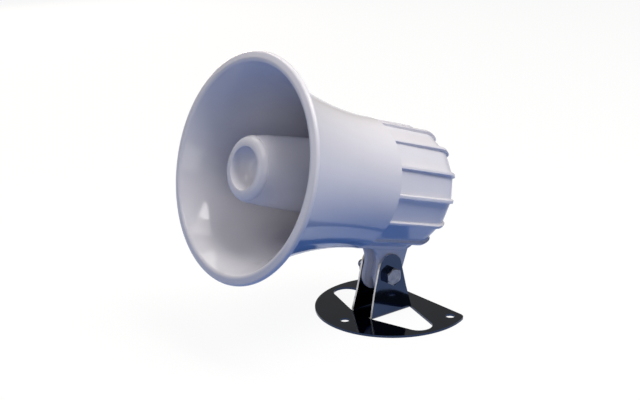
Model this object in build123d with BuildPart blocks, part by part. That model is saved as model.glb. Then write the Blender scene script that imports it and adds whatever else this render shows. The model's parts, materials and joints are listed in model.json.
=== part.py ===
from build123d import *
from math import acos, asin, cos, degrees, radians, sin, tan
import os

os.makedirs("parts", exist_ok=True)

# A small re-entrant public address horn on a folded sheet bracket, in millimetres.
# The foot plate's underside lies in the XY plane, and the pivot bolt crosses above the origin, along X.
# The horn looks towards -Y and is tilted up. Its own sizes run backwards from the mouth along its axis.

# Attitude and pivot
tilt = 16.6                   # degrees that the mouth looks up
bolt_height = 27.9            # bolt axis above the plate's underside
bolt_inset = 13.7             # bolt axis in front of the body's rear end
pivot_drop = 15.5             # bolt axis below the body

# Clearances
seat_gap = 0.3                # around a piece that lies in a recess, or a soft or moving neighbour
hinge_clearance = 0.075       # radial, lug bore on the bolt
bolt_clearance = 0.12         # radial, bolt in the bracket's holes
screw_clearance = 0.1         # radial, small screws and eyelets in their holes
thread_clearance = 0.02       # radial, nut on bolt and coil on former

# Bell: flare, rim and ribbed body
rim_radius = 70.5
rim_width = 5.5               # how far the rim stands out of the flare
rim_thickness = 2.8
rim_slope = 1.2               # the rim's face falls back by this much towards its outer edge
rim_round = 1.3
mouth_round = 5.0             # from the inside of the flare into the rim's face
flare_length = 93.4           # mouth to the front of the panels
flare_power = 1.9             # how quickly the flare opens
flare_wall = 2.8
body_front_radius = 42.6
body_taper = 0.8              # how much smaller the ribs' radius is at the shoulder
tail_run = 12.3               # shoulder to rear end
tail_drop = 4.4               # how much smaller the ribs' radius is at the rear end than at the shoulder
tail_bulge = 1.3              # how far the rounded tail stands out of its chord
rib_count = 14
rib_width = 2.5
rib_height_front = 1.4
rib_height_rear = 2.1

# Baffle and driver housing inside the body
channel_overrun = 2.1         # the ring-shaped sound channel ends this far behind the flare
channel_round = 8.0
channel_run = 0.9             # straight run between the flare's inside and that round
baffle_thickness = 5.0
wiring_room = 15.5            # between the terminal board and the rear cover's seat
cover_recess_depth = 4.7
tail_wall = 5.0               # cover recess to the ribs' tops
cover_step = 1.8              # ledge that the cover's seal lies on

# Foot lug
lug_half_width = 7.7
lug_radius = 10.8
lug_drop = 2.6                # centre of the lug's round end below the bolt axis
lug_blend = 15.0              # concave blend from the lug's front to the body
lug_blend_start = 3.0         # above the bolt axis
lug_splay = 1.9               # how much further back the lug's rear stands at its root
lug_side_wall = 3.3
lug_web_inset = 5.4
lug_channel_gap = 0.6         # the open channels start this far below the ribs
lug_root_sink = 1.6           # the lug's root reaches this close to the cover's recess

# Bracket
sheet = 1.5
plate_radius = 52.0
plate_centre_y = 8.8
plate_back_y = 33.5
plate_corner = 6.0
screw_hole_radius = 3.2
front_hole_inset = 11.5       # the front hole stands this far inside the plate's front edge
rear_hole_inset = 12.2        # and the rear holes this far inside its sides
rear_hole_y = 26.0
ear_gap = 0.25                # between the lug's side and an ear
ear_lean = 1.1                # each ear's foot stands this much further out than its top
ear_lean_height = 15.4        # above the plate's top
bend_radius = 1.4             # inside of the fold
ear_half_width = 17.6         # at the fold
ear_top_radius = 9.7
ear_top_rise = 4.9            # centre of the round top above the bolt axis
lance_gap = 0.4               # between an ear's foot and the window's edge
window_end_radius = 9.2
window_inset = 5.6            # plate's side to the far end of a window

# Pivot hardware, quarter inch
bolt_radius = 3.175
hex_across_flats = 11.1
head_height = 4.2
thread_past_nut = 4.9
bolt_tip_chamfer = 0.8
nut_height = 5.6
hex_chamfer = 0.7
washer_face = 0.3             # chamfer under the bolt's head
head_turn = 30                # degrees, where the corners of head and nut point
washer_thickness = 1.6
washer_width = 2.3
washer_slit = 1.2

# Reflector
nose_station = 2.9
nose_lip_radius = 19.7
nose_lip_round = 3.2          # outer edge of the lip
dish_edge_radius = 13.3
dish_edge_round = 0.6
dish_floor_station = 13.0
dish_floor_radius = 10.9
dish_floor_round = 3.0
nose_step_station = 6.8
nose_step_radius = 20.1
reflector_front_station = 16.0
reflector_front_radius = 21.4
reflector_middle_station = 48.0
reflector_middle_radius = 23.3
reflector_gap = 11.5          # between the reflector's rear edge and the channel's floor
reflector_end_radius = 25.3
reflector_wall = 2.2
leg_count = 3
leg_width = 6.0
leg_inner_radius = 19.6
leg_overlap = 14.0            # how far the legs run inside the reflector

# Throat tube
tube_front = 27.0
tube_front_radius = 10.3
tube_rear_radius = 10.8
tube_front_bore = 8.4
throat_radius = 6.0
tube_flange_radius = 14.7
tube_flange_thickness = 2.0

# Screws that hold the reflector's legs, put in from behind
leg_screw_radius = 1.4
leg_screw_grip = 7.5          # how far the screw reaches into the leg

# Compression driver
gasket_inner_radius = 16.0
gasket_outer_radius = 19.6
gasket_thickness = 0.8
phase_plate_thickness = 6.0
dome_radius = 12.9
dome_rise = 3.5
dome_thickness = 0.4
dome_clearance = 1.0
dome_setback = 0.6            # dome's edge in front of the phase plate's rear face
former_thickness = 0.3
former_length = 7.6
coil_thickness = 0.5
coil_length = 3.8
coil_setback = 0.1            # coil behind the top plate's front face
coil_gap = 0.4
surround_roll_end = 17.5
surround_clamp_end = 20.0
surround_thickness = 0.5
surround_rise = 1.3
roll_clearance = 0.9
top_plate_thickness = 4.0
magnet_inner_radius = 17.0
post_gap = 0.5                # between the cover's posts and the magnet
magnet_thickness = 10.0
yoke_thickness = 4.0
yoke_edge_chamfer = 0.8
pole_setback = 0.3

# Terminals on the yoke
board_length = 30.0
board_width = 10.0
board_thickness = 1.6
board_corner = 1.5
rivet_spacing = 24.0
rivet_radius = 1.2
rivet_depth = 3.0             # how far a rivet reaches into the yoke
rivet_head_radius = 2.0
rivet_head_height = 0.7
tag_spacing = 9.0
tag_width = 4.8
tag_foot = 5.0
tag_height = 6.3
tag_thickness = 0.8
tag_eyelet_radius = 1.1
tag_hole_radius = 0.8

# Rear cover
cover_thickness = 3.2
cover_inset = 0.3             # the cover's face lies this far inside the housing's end
cover_edge_round = 0.8
post_count = 4
post_edge = 2.9               # the posts' axes stand this far inside the housing's wall
post_radius = 2.4
long_screw_radius = 1.25
long_screw_bite = 3.6         # how far the long screws reach into the baffle
seal_width = 1.3
screw_head_radius = 2.2
screw_head_height = 1.6
screw_slot_width = 0.7
screw_slot_depth = 0.8
grommet_offset = 17.0         # below the horn's axis
grommet_hole_radius = 4.6
grommet_flange = 2.0
grommet_flange_thickness = 1.6
grommet_bore = 2.4

# Places that follow from the sizes above
flare_start_radius = rim_radius - rim_width
channel_depth = flare_length + channel_overrun
baffle_back = channel_depth + baffle_thickness
flange_seat = baffle_back - tube_flange_thickness
phase_back = baffle_back + phase_plate_thickness
top_plate_back = phase_back + top_plate_thickness
magnet_back = top_plate_back + magnet_thickness
yoke_back = magnet_back + yoke_thickness
board_back = yoke_back + board_thickness
cover_seat = board_back + wiring_room
body_length = cover_seat + cover_recess_depth
cover_back = body_length - cover_inset
cover_front = cover_back - cover_thickness
shoulder_station = body_length - tail_run
shoulder_radius = body_front_radius - body_taper
tail_radius = shoulder_radius - tail_drop
cover_recess_radius = tail_radius - tail_wall
housing_radius = cover_recess_radius - cover_step
driver_radius = housing_radius - seat_gap
post_circle_radius = housing_radius - post_edge
magnet_outer_radius = post_circle_radius - post_radius - post_gap
reflector_end = channel_depth - reflector_gap
leg_middle_radius = (leg_inner_radius + reflector_end_radius) / 2
bolt_station = body_length - bolt_inset
lug_reach = body_front_radius + pivot_drop
lug_channel_top = body_front_radius + lug_channel_gap
lug_root_depth = cover_recess_radius + lug_root_sink
screw_hole = long_screw_radius + screw_clearance
head_recess = screw_head_radius + screw_clearance
front_hole_y = plate_centre_y - plate_radius + front_hole_inset
rear_hole_x = plate_radius - rear_hole_inset
window_end_x = plate_radius - window_inset
slope = radians(tilt)
back = Vector(0, cos(slope), -sin(slope))
upward = Vector(0, sin(slope), cos(slope))
mouth = Vector(0, 0, bolt_height) - back * bolt_station + upward * lug_reach
horn_axis = Axis(mouth, back)
section = Plane(origin=mouth, x_dir=back, z_dir=(1, 0, 0))
lug_section = Plane(origin=mouth, x_dir=back, z_dir=(-1, 0, 0))


def station(distance):
    """A plane across the horn's axis, looking backwards, that far behind the mouth."""
    return Plane(origin=mouth + back * distance, x_dir=(1, 0, 0), z_dir=back)


def flare_radius(distance):
    """Outside radius of the flare that far behind the mouth."""
    openness = 1 - distance / flare_length
    return body_front_radius + (flare_start_radius - body_front_radius) * openness ** flare_power


def ring(plane, outer, inner, depth):
    """A flat ring or a tube that starts at a plane."""
    with BuildSketch(plane) as profile:
        Circle(outer)
        Circle(inner, mode=Mode.SUBTRACT)
    extrude(profile.sketch, amount=depth)


def disc(plane, radius, depth, mode=Mode.ADD, places=None):
    """A round plug or hole that starts at a plane, once at the centre or once at each place."""
    with BuildSketch(plane) as profile:
        with places or Locations((0, 0)):
            Circle(radius)
    extrude(profile.sketch, amount=depth, mode=mode)


def leg_places(radius):
    """One place for each leg of the reflector, the first straight down."""
    return PolarLocations(radius, leg_count, start_angle=90)


def post_places():
    """One place for each post of the rear cover."""
    return PolarLocations(post_circle_radius, post_count, start_angle=180 / post_count)


# Open space outside one flat panel of the body: a wedge between two ribs
rib_pitch = 360 / rib_count
half_pitch = radians(rib_pitch / 2)
wedge_tip = rib_width / 2 / sin(half_pitch)
clear = 20.0                  # cutters reach this far past what they cut
pick_range = 0.1              # how near a corner lies to the station where it is looked for
pocket_top = body_front_radius + clear
pocket_end = body_length + clear
panel_front = (body_front_radius - rib_height_front) * cos(half_pitch)
panel_shoulder = (shoulder_radius - rib_height_rear) * cos(half_pitch)
panel_tail = (tail_radius - rib_height_rear) * cos(half_pitch)
half_pocket = (pocket_top - wedge_tip) * tan(half_pitch)

with BuildPart() as pocket:
    with BuildSketch(station(flare_length)):
        with BuildLine():
            Polyline((0, wedge_tip), (half_pocket, pocket_top), (-half_pocket, pocket_top), close=True)
        make_face()
    extrude(amount=pocket_end - flare_length)
    with BuildSketch(lug_section):
        with BuildLine():
            Polyline((flare_length, pocket_top), (flare_length, panel_front),
                     (shoulder_station, panel_shoulder))
            SagittaArc((shoulder_station, panel_shoulder), (body_length, panel_tail), tail_bulge)
            Polyline((body_length, panel_tail), (pocket_end, panel_tail), (pocket_end, pocket_top),
                     (flare_length, pocket_top))
        make_face()
    extrude(amount=pocket_top, both=True, mode=Mode.INTERSECT)


def lug_outline(inset):
    """The lug seen from its side, moved inwards by the inset; the second direction points down."""
    radius = lug_radius - inset
    blend = lug_blend + inset
    blend_x = bolt_station - lug_radius - lug_blend
    blend_y = lug_reach - lug_blend_start
    with BuildSketch() as outline:
        with BuildLine():
            CenterArc((bolt_station, lug_reach + lug_drop), radius, 0, 180)
            Line((bolt_station - radius, lug_reach + lug_drop), (bolt_station - radius, blend_y))
            CenterArc((blend_x, blend_y), blend, -90, 90)
            Polyline((blend_x, blend_y - blend), (blend_x, lug_root_depth),
                     (bolt_station + radius + lug_splay, lug_root_depth),
                     (bolt_station + radius, lug_reach + lug_drop))
        make_face()
    return outline.sketch


# Horn bell: one moulding with flare, rim, baffle, ribbed driver housing and foot lug
channel_wall_end = channel_depth - channel_round - channel_run
channel_radius = flare_radius(channel_wall_end) - flare_wall
flare_steps = [share / 5 for share in range(6)]

with BuildPart() as horn_bell:
    with BuildSketch(section):
        inner = [(channel_wall_end * k, flare_radius(channel_wall_end * k) - flare_wall) for k in flare_steps]
        rim_back = rim_slope + rim_thickness
        flare_run = flare_length - rim_back
        outer_stations = [flare_length - flare_run * k for k in flare_steps]
        outer = [(distance, flare_radius(distance)) for distance in outer_stations]
        with BuildLine():
            Spline(*inner)
            Polyline(inner[-1], (channel_depth, channel_radius), (channel_depth, tube_rear_radius + seat_gap),
                     (flange_seat, tube_rear_radius + seat_gap), (flange_seat, tube_flange_radius + seat_gap),
                     (baffle_back, tube_flange_radius + seat_gap), (baffle_back, gasket_inner_radius),
                     (baffle_back - gasket_thickness, gasket_inner_radius),
                     (baffle_back - gasket_thickness, gasket_outer_radius),
                     (baffle_back, gasket_outer_radius), (baffle_back, housing_radius),
                     (cover_seat, housing_radius),
                     (cover_seat, cover_recess_radius), (body_length, cover_recess_radius),
                     (body_length, tail_radius))
            SagittaArc((body_length, tail_radius), (shoulder_station, shoulder_radius), -tail_bulge)
            Line((shoulder_station, shoulder_radius), (flare_length, body_front_radius))
            Spline(*outer)
            Polyline(outer[-1], (rim_back, rim_radius), (rim_slope, rim_radius), inner[0])
        make_face()
        fillet(vertices().group_by(Axis.Y)[-1], rim_round)
        fillet(vertices().sort_by(Axis.X)[0], mouth_round)
        channel_corner = vertices().filter_by_position(Axis.X, channel_depth - pick_range,
                                                       channel_depth + pick_range)
        fillet(channel_corner.sort_by(Axis.Y)[-1], channel_round)
    revolve(axis=horn_axis)
    for k in range(rib_count):
        add(pocket.part.rotate(horn_axis, k * rib_pitch), mode=Mode.SUBTRACT)
    # Lug, with open channels along its front and rear outside a middle web
    with BuildSketch(lug_section):
        add(lug_outline(0))
    extrude(amount=lug_half_width, both=True)
    with BuildSketch(lug_section):
        with Locations((bolt_station, lug_channel_top)):
            Rectangle(2 * clear + 2 * lug_radius, clear + lug_radius, align=(Align.CENTER, Align.MIN))
        add(lug_outline(lug_web_inset), mode=Mode.SUBTRACT)
    extrude(amount=lug_half_width - lug_side_wall, both=True, mode=Mode.SUBTRACT)
    with BuildSketch(lug_section):
        with Locations((bolt_station, lug_reach)):
            Circle(bolt_radius + hinge_clearance)
    extrude(amount=lug_half_width, both=True, mode=Mode.SUBTRACT)
    # Blind holes for the cover's long screws, and stepped holes for the leg screws
    disc(station(baffle_back - long_screw_bite), long_screw_radius, long_screw_bite, Mode.SUBTRACT,
         post_places())
    disc(station(channel_depth), leg_screw_radius + screw_clearance, baffle_thickness, Mode.SUBTRACT,
         leg_places(leg_middle_radius))
    disc(station(baffle_back - screw_head_height), head_recess, screw_head_height, Mode.SUBTRACT,
         leg_places(leg_middle_radius))
horn_bell.part.label = "horn_bell"
export_step(horn_bell.part, "parts/horn_bell.step")

# Reflector: tube closed in front by a fat lip and a deep dish, on three legs
lip_back = nose_station + reflector_wall
cavity = dish_floor_station + reflector_wall
with BuildPart() as reflector:
    with BuildSketch(section):
        outside = [(nose_step_station, nose_step_radius), (reflector_front_station, reflector_front_radius),
                   (reflector_middle_station, reflector_middle_radius), (reflector_end, reflector_end_radius)]
        inside = [(s, r - reflector_wall) for s, r in outside[:0:-1]]
        with BuildLine():
            Polyline((dish_floor_station, 0), (dish_floor_station, dish_floor_radius),
                     (nose_station, dish_edge_radius), (nose_station, nose_lip_radius),
                     (nose_step_station, nose_lip_radius), outside[0])
            Spline(*outside)
            Line(outside[-1], inside[0])
            Spline(*inside)
            Polyline(inside[-1], (lip_back, nose_lip_radius - reflector_wall),
                     (lip_back, dish_edge_radius + reflector_wall),
                     (cavity, dish_floor_radius + reflector_wall), (cavity, 0), (dish_floor_station, 0))
        make_face()
        lip_corners = vertices().filter_by_position(Axis.X, nose_station - pick_range,
                                                    nose_station + pick_range)
        fillet(lip_corners.sort_by(Axis.Y)[-1], nose_lip_round)
        dish_edge = vertices().filter_by_position(Axis.Y, dish_edge_radius - pick_range,
                                                  dish_edge_radius + pick_range)
        fillet(dish_edge.sort_by(Axis.X)[0], dish_edge_round)
        dish_corner = vertices().filter_by_position(Axis.X, dish_floor_station - pick_range,
                                                    dish_floor_station + pick_range)
        fillet(dish_corner.sort_by(Axis.Y)[-1], dish_floor_round)
    revolve(axis=horn_axis)
    with BuildSketch(station(reflector_end - leg_overlap)):
        with leg_places(leg_middle_radius):
            Rectangle(reflector_end_radius - leg_inner_radius, leg_width)
    extrude(amount=leg_overlap + reflector_gap)
    disc(station(channel_depth - leg_screw_grip), leg_screw_radius, leg_screw_grip, Mode.SUBTRACT,
         leg_places(leg_middle_radius))
reflector.part.label = "reflector"
export_step(reflector.part, "parts/reflector.step")

# Throat tube: carries the sound forwards from the driver into the reflector
with BuildPart() as throat_tube:
    with BuildSketch(section):
        with BuildLine():
            Polyline((tube_front, tube_front_bore), (tube_front, tube_front_radius),
                     (flange_seat, tube_rear_radius), (flange_seat, tube_flange_radius),
                     (baffle_back, tube_flange_radius), (baffle_back, throat_radius),
                     (tube_front, tube_front_bore))
        make_face()
        tube_lip = vertices().filter_by_position(Axis.X, tube_front - pick_range, tube_front + pick_range)
        fillet(tube_lip, (tube_front_radius - tube_front_bore) / 3)
    revolve(axis=horn_axis)
throat_tube.part.label = "throat_tube"
export_step(throat_tube.part, "parts/throat_tube.step")


def slotted_screw(seat, shank_radius, reach, places):
    """Small slotted screws whose flat heads stand on a plane behind the piece that they hold."""
    with BuildPart() as screws:
        disc(station(seat), screw_head_radius, screw_head_height, places=places)
        disc(station(seat - reach), shank_radius, reach, places=places)
        with BuildSketch(station(seat + screw_head_height - screw_slot_depth)):
            with places:
                Rectangle(2 * screw_head_radius + clear, screw_slot_width)
        extrude(amount=screw_slot_depth, mode=Mode.SUBTRACT)
    return screws.part


leg_screw_seat = baffle_back - screw_head_height
leg_screw_reach = leg_screw_seat - channel_depth + leg_screw_grip
with BuildPart() as reflector_screws:
    add(slotted_screw(leg_screw_seat, leg_screw_radius, leg_screw_reach, leg_places(leg_middle_radius)))
reflector_screws.part.label = "reflector_screws"
export_step(reflector_screws.part, "parts/reflector_screws.step")

# Compression driver, stacked behind the baffle
with BuildPart() as driver_gasket:
    ring(station(baffle_back - gasket_thickness), gasket_outer_radius, gasket_inner_radius, gasket_thickness)
driver_gasket.part.label = "driver_gasket"
export_step(driver_gasket.part, "parts/driver_gasket.step")

dome_edge = phase_back - dome_setback
dome_sphere = (dome_radius ** 2 + dome_rise ** 2) / (2 * dome_rise)
dome_centre = dome_edge - dome_rise + dome_sphere
recess_sphere = dome_sphere + dome_clearance
recess_angle = degrees(asin(dome_radius / recess_sphere))
roll_recess = surround_rise + surround_thickness + roll_clearance
with BuildPart() as phase_plate:
    disc(station(baffle_back), driver_radius, phase_plate_thickness)
    disc(station(baffle_back), throat_radius, phase_plate_thickness, Mode.SUBTRACT)
    with BuildSketch(station(phase_back - surround_thickness)):
        Circle(surround_clamp_end + seat_gap)
    extrude(amount=surround_thickness, mode=Mode.SUBTRACT)
    with BuildSketch(station(phase_back - roll_recess)):
        Circle(surround_roll_end)
        Circle(dome_radius, mode=Mode.SUBTRACT)
    extrude(amount=roll_recess, mode=Mode.SUBTRACT)
    with BuildSketch(section):
        with BuildLine():
            recess_arc = CenterArc((dome_centre, 0), recess_sphere, 180 - recess_angle, recess_angle)
            Polyline(recess_arc @ 1, (phase_back, 0), (phase_back, dome_radius), recess_arc @ 0)
        make_face()
    revolve(axis=horn_axis, mode=Mode.SUBTRACT)
    disc(station(baffle_back), screw_hole, phase_plate_thickness, Mode.SUBTRACT, post_places())
phase_plate.part.label = "phase_plate"
export_step(phase_plate.part, "parts/phase_plate.step")

# Diaphragm: dome, coil and former move together inside a fixed surround
with BuildPart() as dome:
    with BuildSketch(section):
        inner_sphere = dome_sphere - dome_thickness
        outer_angle = degrees(acos((dome_centre - dome_edge) / dome_sphere))
        inner_angle = degrees(acos((dome_centre - dome_edge) / inner_sphere))
        with BuildLine():
            outer_arc = CenterArc((dome_centre, 0), dome_sphere, 180 - outer_angle, outer_angle)
            inner_arc = CenterArc((dome_centre, 0), inner_sphere, 180 - inner_angle, inner_angle)
            Line(outer_arc @ 0, inner_arc @ 0)
            Line(outer_arc @ 1, inner_arc @ 1)
        make_face()
    revolve(axis=horn_axis)
dome.part.label = "dome"
export_step(dome.part, "parts/dome.step")

former_inner = dome_radius - former_thickness
with BuildPart() as coil_former:
    ring(station(dome_edge), dome_radius, former_inner, former_length)
coil_former.part.label = "coil_former"
export_step(coil_former.part, "parts/coil_former.step")

coil_inner = dome_radius + thread_clearance
coil_outer = coil_inner + coil_thickness
with BuildPart() as voice_coil:
    ring(station(phase_back + coil_setback), coil_outer, coil_inner, coil_length)
voice_coil.part.label = "voice_coil"
export_step(voice_coil.part, "parts/voice_coil.step")

clamp_front = phase_back - surround_thickness
roll_start = dome_radius + seat_gap
with BuildPart() as surround:
    with BuildSketch(section):
        roll_crest = ((roll_start + surround_roll_end) / 2, clamp_front - surround_rise)
        with BuildLine():
            Polyline((phase_back, surround_roll_end), (phase_back, surround_clamp_end),
                     (clamp_front, surround_clamp_end), (clamp_front, surround_roll_end))
            ThreePointArc((clamp_front, surround_roll_end), roll_crest[::-1], (clamp_front, roll_start))
            Line((clamp_front, roll_start), (clamp_front + surround_thickness / 2, roll_start))
            ThreePointArc((clamp_front + surround_thickness / 2, roll_start),
                          (roll_crest[1] + surround_thickness, roll_crest[0]),
                          (phase_back, surround_roll_end))
        make_face()
    revolve(axis=horn_axis)
surround.part.label = "surround"
export_step(surround.part, "parts/surround.step")

# Magnetic circuit
with BuildPart() as top_plate:
    ring(station(phase_back), driver_radius, coil_outer + coil_gap, top_plate_thickness)
    disc(station(phase_back), screw_hole, top_plate_thickness, Mode.SUBTRACT, post_places())
top_plate.part.label = "top_plate"
export_step(top_plate.part, "parts/top_plate.step")

with BuildPart() as magnet:
    ring(station(top_plate_back), magnet_outer_radius, magnet_inner_radius, magnet_thickness)
magnet.part.label = "magnet"
export_step(magnet.part, "parts/magnet.step")

pole_front = phase_back + pole_setback
rivet_places = GridLocations(rivet_spacing, 1, 2, 1)
with BuildPart() as pole_yoke:
    disc(station(magnet_back), magnet_outer_radius, yoke_thickness)
    chamfer(pole_yoke.edges().filter_by(GeomType.CIRCLE).sort_by(horn_axis)[-1], yoke_edge_chamfer)
    disc(station(pole_front), former_inner - coil_gap, magnet_back - pole_front)
    disc(station(yoke_back - rivet_depth), rivet_radius, rivet_depth, Mode.SUBTRACT, rivet_places)
pole_yoke.part.label = "pole_yoke"
export_step(pole_yoke.part, "parts/pole_yoke.step")

# Terminals: an insulating board riveted to the yoke, with two solder tags
tag_places = GridLocations(tag_spacing, 1, 2, 1)
with BuildPart() as terminal_board:
    with BuildSketch(station(yoke_back)):
        RectangleRounded(board_length, board_width, board_corner)
        with rivet_places:
            Circle(rivet_radius + screw_clearance, mode=Mode.SUBTRACT)
        with tag_places:
            Circle(tag_eyelet_radius + screw_clearance, mode=Mode.SUBTRACT)
    extrude(amount=board_thickness)
terminal_board.part.label = "terminal_board"
export_step(terminal_board.part, "parts/terminal_board.step")

with BuildPart() as terminal_tags:
    with BuildSketch(station(board_back)):
        with tag_places:
            Rectangle(tag_width, tag_foot)
    extrude(amount=tag_thickness)
    with BuildSketch(station(board_back)):
        with tag_places:
            with Locations((0, tag_foot / 2)):
                Rectangle(tag_width, tag_thickness, align=(Align.CENTER, Align.MAX))
    extrude(amount=tag_height)
    disc(station(yoke_back), tag_eyelet_radius, board_thickness, places=tag_places)
    eye_centre = mouth + back * (board_back + tag_height - tag_width / 2)
    tag_eye = Plane(origin=eye_centre, x_dir=(1, 0, 0), z_dir=upward)
    with BuildSketch(tag_eye):
        with GridLocations(tag_spacing, 1, 2, 1):
            Circle(tag_hole_radius)
    extrude(amount=tag_foot, both=True, mode=Mode.SUBTRACT)
terminal_tags.part.label = "terminal_tags"
export_step(terminal_tags.part, "parts/terminal_tags.step")

with BuildPart() as board_rivets:
    disc(station(yoke_back - rivet_depth), rivet_radius, rivet_depth + board_thickness, places=rivet_places)
    disc(station(board_back), rivet_head_radius, rivet_head_height, places=rivet_places)
    chamfer(board_rivets.edges().filter_by(GeomType.CIRCLE).group_by(horn_axis)[-1], rivet_head_height / 2)
board_rivets.part.label = "board_rivets"
export_step(board_rivets.part, "parts/board_rivets.step")

# Rear cover with four hollow posts that clamp the driver, its seal, screws and cable grommet
grommet_place = Locations((0, grommet_offset))
post_reach = cover_front - top_plate_back
with BuildPart() as rear_cover:
    disc(station(cover_front), cover_recess_radius - seat_gap, cover_thickness)
    chamfer(rear_cover.edges().filter_by(GeomType.CIRCLE).sort_by(horn_axis)[-1], cover_edge_round)
    disc(station(top_plate_back), post_radius, post_reach, places=post_places())
    disc(station(top_plate_back), screw_hole, cover_back - top_plate_back, Mode.SUBTRACT, post_places())
    disc(station(cover_back - screw_head_height), head_recess, screw_head_height, Mode.SUBTRACT,
         post_places())
    disc(station(cover_front), grommet_hole_radius, cover_thickness, Mode.SUBTRACT, grommet_place)
rear_cover.part.label = "rear_cover"
export_step(rear_cover.part, "parts/rear_cover.step")

with BuildPart() as cover_seal:
    ring(station(cover_seat), cover_recess_radius - seat_gap, cover_recess_radius - seat_gap - seal_width,
         cover_front - cover_seat)
cover_seal.part.label = "cover_seal"
export_step(cover_seal.part, "parts/cover_seal.step")

long_screw_seat = cover_back - screw_head_height
long_screw_reach = long_screw_seat - baffle_back + long_screw_bite
with BuildPart() as cover_screws:
    add(slotted_screw(long_screw_seat, long_screw_radius, long_screw_reach, post_places()))
cover_screws.part.label = "cover_screws"
export_step(cover_screws.part, "parts/cover_screws.step")

with BuildPart() as cable_grommet:
    grommet_inside = cover_front - grommet_flange_thickness
    grommet_length = cover_thickness + 2 * grommet_flange_thickness
    flange_radius = grommet_hole_radius + grommet_flange
    disc(station(grommet_inside), grommet_hole_radius, grommet_length, places=grommet_place)
    disc(station(grommet_inside), flange_radius, grommet_flange_thickness, places=grommet_place)
    disc(station(cover_back), flange_radius, grommet_flange_thickness, places=grommet_place)
    grommet_edge = cable_grommet.edges().filter_by(GeomType.CIRCLE).sort_by(horn_axis)[-1]
    fillet(grommet_edge, grommet_flange_thickness / 2)
    disc(station(grommet_inside), grommet_bore, grommet_length, Mode.SUBTRACT, grommet_place)
cable_grommet.part.label = "cable_grommet"
export_step(cable_grommet.part, "parts/cable_grommet.step")

# Bracket: one sheet, its two ears lanced out of the windows and folded up
ear_inner_top = lug_half_width + ear_gap
ear_inner_foot = ear_inner_top + ear_lean
fold_start = ear_inner_foot - bend_radius
fold_top = sheet + bend_radius
lean_top = sheet + ear_lean_height
ear_centre = bolt_height + ear_top_rise
ear_apex = ear_centre + ear_top_radius
with BuildPart() as bracket:
    with BuildSketch(Plane.XY):
        with Locations((0, plate_centre_y)):
            Circle(plate_radius)
        with Locations((0, plate_back_y)):
            Rectangle(2 * plate_radius, 2 * plate_radius, align=(Align.CENTER, Align.MAX),
                      mode=Mode.INTERSECT)
        fillet(vertices(), plate_corner)
        with Locations((0, front_hole_y), (rear_hole_x, rear_hole_y), (-rear_hole_x, rear_hole_y)):
            Circle(screw_hole_radius, mode=Mode.SUBTRACT)
        for side in (1, -1):
            with BuildSketch(mode=Mode.PRIVATE) as window:
                with Locations((side * (window_end_x - window_end_radius), 0)):
                    Circle(window_end_radius)
                with Locations((side * fold_start, 0)):
                    Rectangle(sheet, 2 * (ear_half_width + lance_gap),
                              align=(Align.MIN if side > 0 else Align.MAX, Align.CENTER))
                make_hull()
            add(window.sketch, mode=Mode.SUBTRACT)
    extrude(amount=sheet)
    with BuildPart(mode=Mode.PRIVATE) as ear:
        with BuildSketch(Plane.XZ):
            with BuildLine():
                Line((fold_start, 0), (fold_start, sheet))
                CenterArc((fold_start, fold_top), bend_radius, -90, 90)
                Polyline((ear_inner_foot, fold_top), (ear_inner_top, lean_top), (ear_inner_top, ear_apex),
                         (ear_inner_top + sheet, ear_apex), (ear_inner_top + sheet, lean_top),
                         (ear_inner_foot + sheet, fold_top))
                CenterArc((fold_start, fold_top), bend_radius + sheet, -90, 90)
            make_face()
        extrude(amount=ear_half_width, both=True)
        with BuildSketch(Plane.YZ):
            with Locations((0, ear_centre)):
                Circle(ear_top_radius)
            Rectangle(2 * ear_half_width, sheet, align=(Align.CENTER, Align.MIN))
            make_hull()
            with Locations((0, bolt_height)):
                Circle(bolt_radius + bolt_clearance, mode=Mode.SUBTRACT)
        extrude(amount=plate_radius, mode=Mode.INTERSECT)
    add(ear.part)
    add(ear.part.mirror(Plane.YZ))
bracket.part.label = "bracket"
export_step(bracket.part, "parts/bracket.step")

# Pivot bolt, split lock washer and nut
ear_outer = ear_inner_top + sheet
nut_seat = -ear_outer - washer_thickness
hex_corner = hex_across_flats / cos(radians(30)) / 2
pivot_axis = Axis((0, 0, bolt_height), (1, 0, 0))
pivot_section = Plane(origin=(0, 0, bolt_height), x_dir=(1, 0, 0), z_dir=(0, -1, 0))


def pivot_plane(x):
    """A plane across the pivot's axis, looking along +X."""
    return Plane(origin=(x, 0, bolt_height), x_dir=(0, 1, 0), z_dir=(1, 0, 0))


def turned_hexagon(start, end, start_chamfer, end_chamfer):
    """A hexagon across the pivot's axis whose corners are turned down at both ends."""
    with BuildPart() as shape:
        with BuildSketch(pivot_plane(start)):
            RegularPolygon(hex_across_flats / 2, 6, major_radius=False, rotation=head_turn)
        extrude(amount=end - start)
        with BuildSketch(pivot_section):
            with BuildLine():
                Polyline((start, 0), (start, hex_corner - 2 * start_chamfer),
                         (start + start_chamfer, hex_corner), (end - end_chamfer, hex_corner),
                         (end, hex_corner - 2 * end_chamfer), (end, 0), close=True)
            make_face()
        revolve(axis=pivot_axis, mode=Mode.INTERSECT)
    return shape.part


bolt_length = ear_outer - nut_seat + nut_height + thread_past_nut
with BuildPart() as pivot_bolt:
    disc(pivot_plane(ear_outer - bolt_length), bolt_radius, bolt_length)
    chamfer(pivot_bolt.edges().filter_by(GeomType.CIRCLE).sort_by(Axis.X)[0], bolt_tip_chamfer)
    add(turned_hexagon(ear_outer, ear_outer + head_height, washer_face, hex_chamfer))
pivot_bolt.part.label = "pivot_bolt"
export_step(pivot_bolt.part, "parts/pivot_bolt.step")

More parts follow.
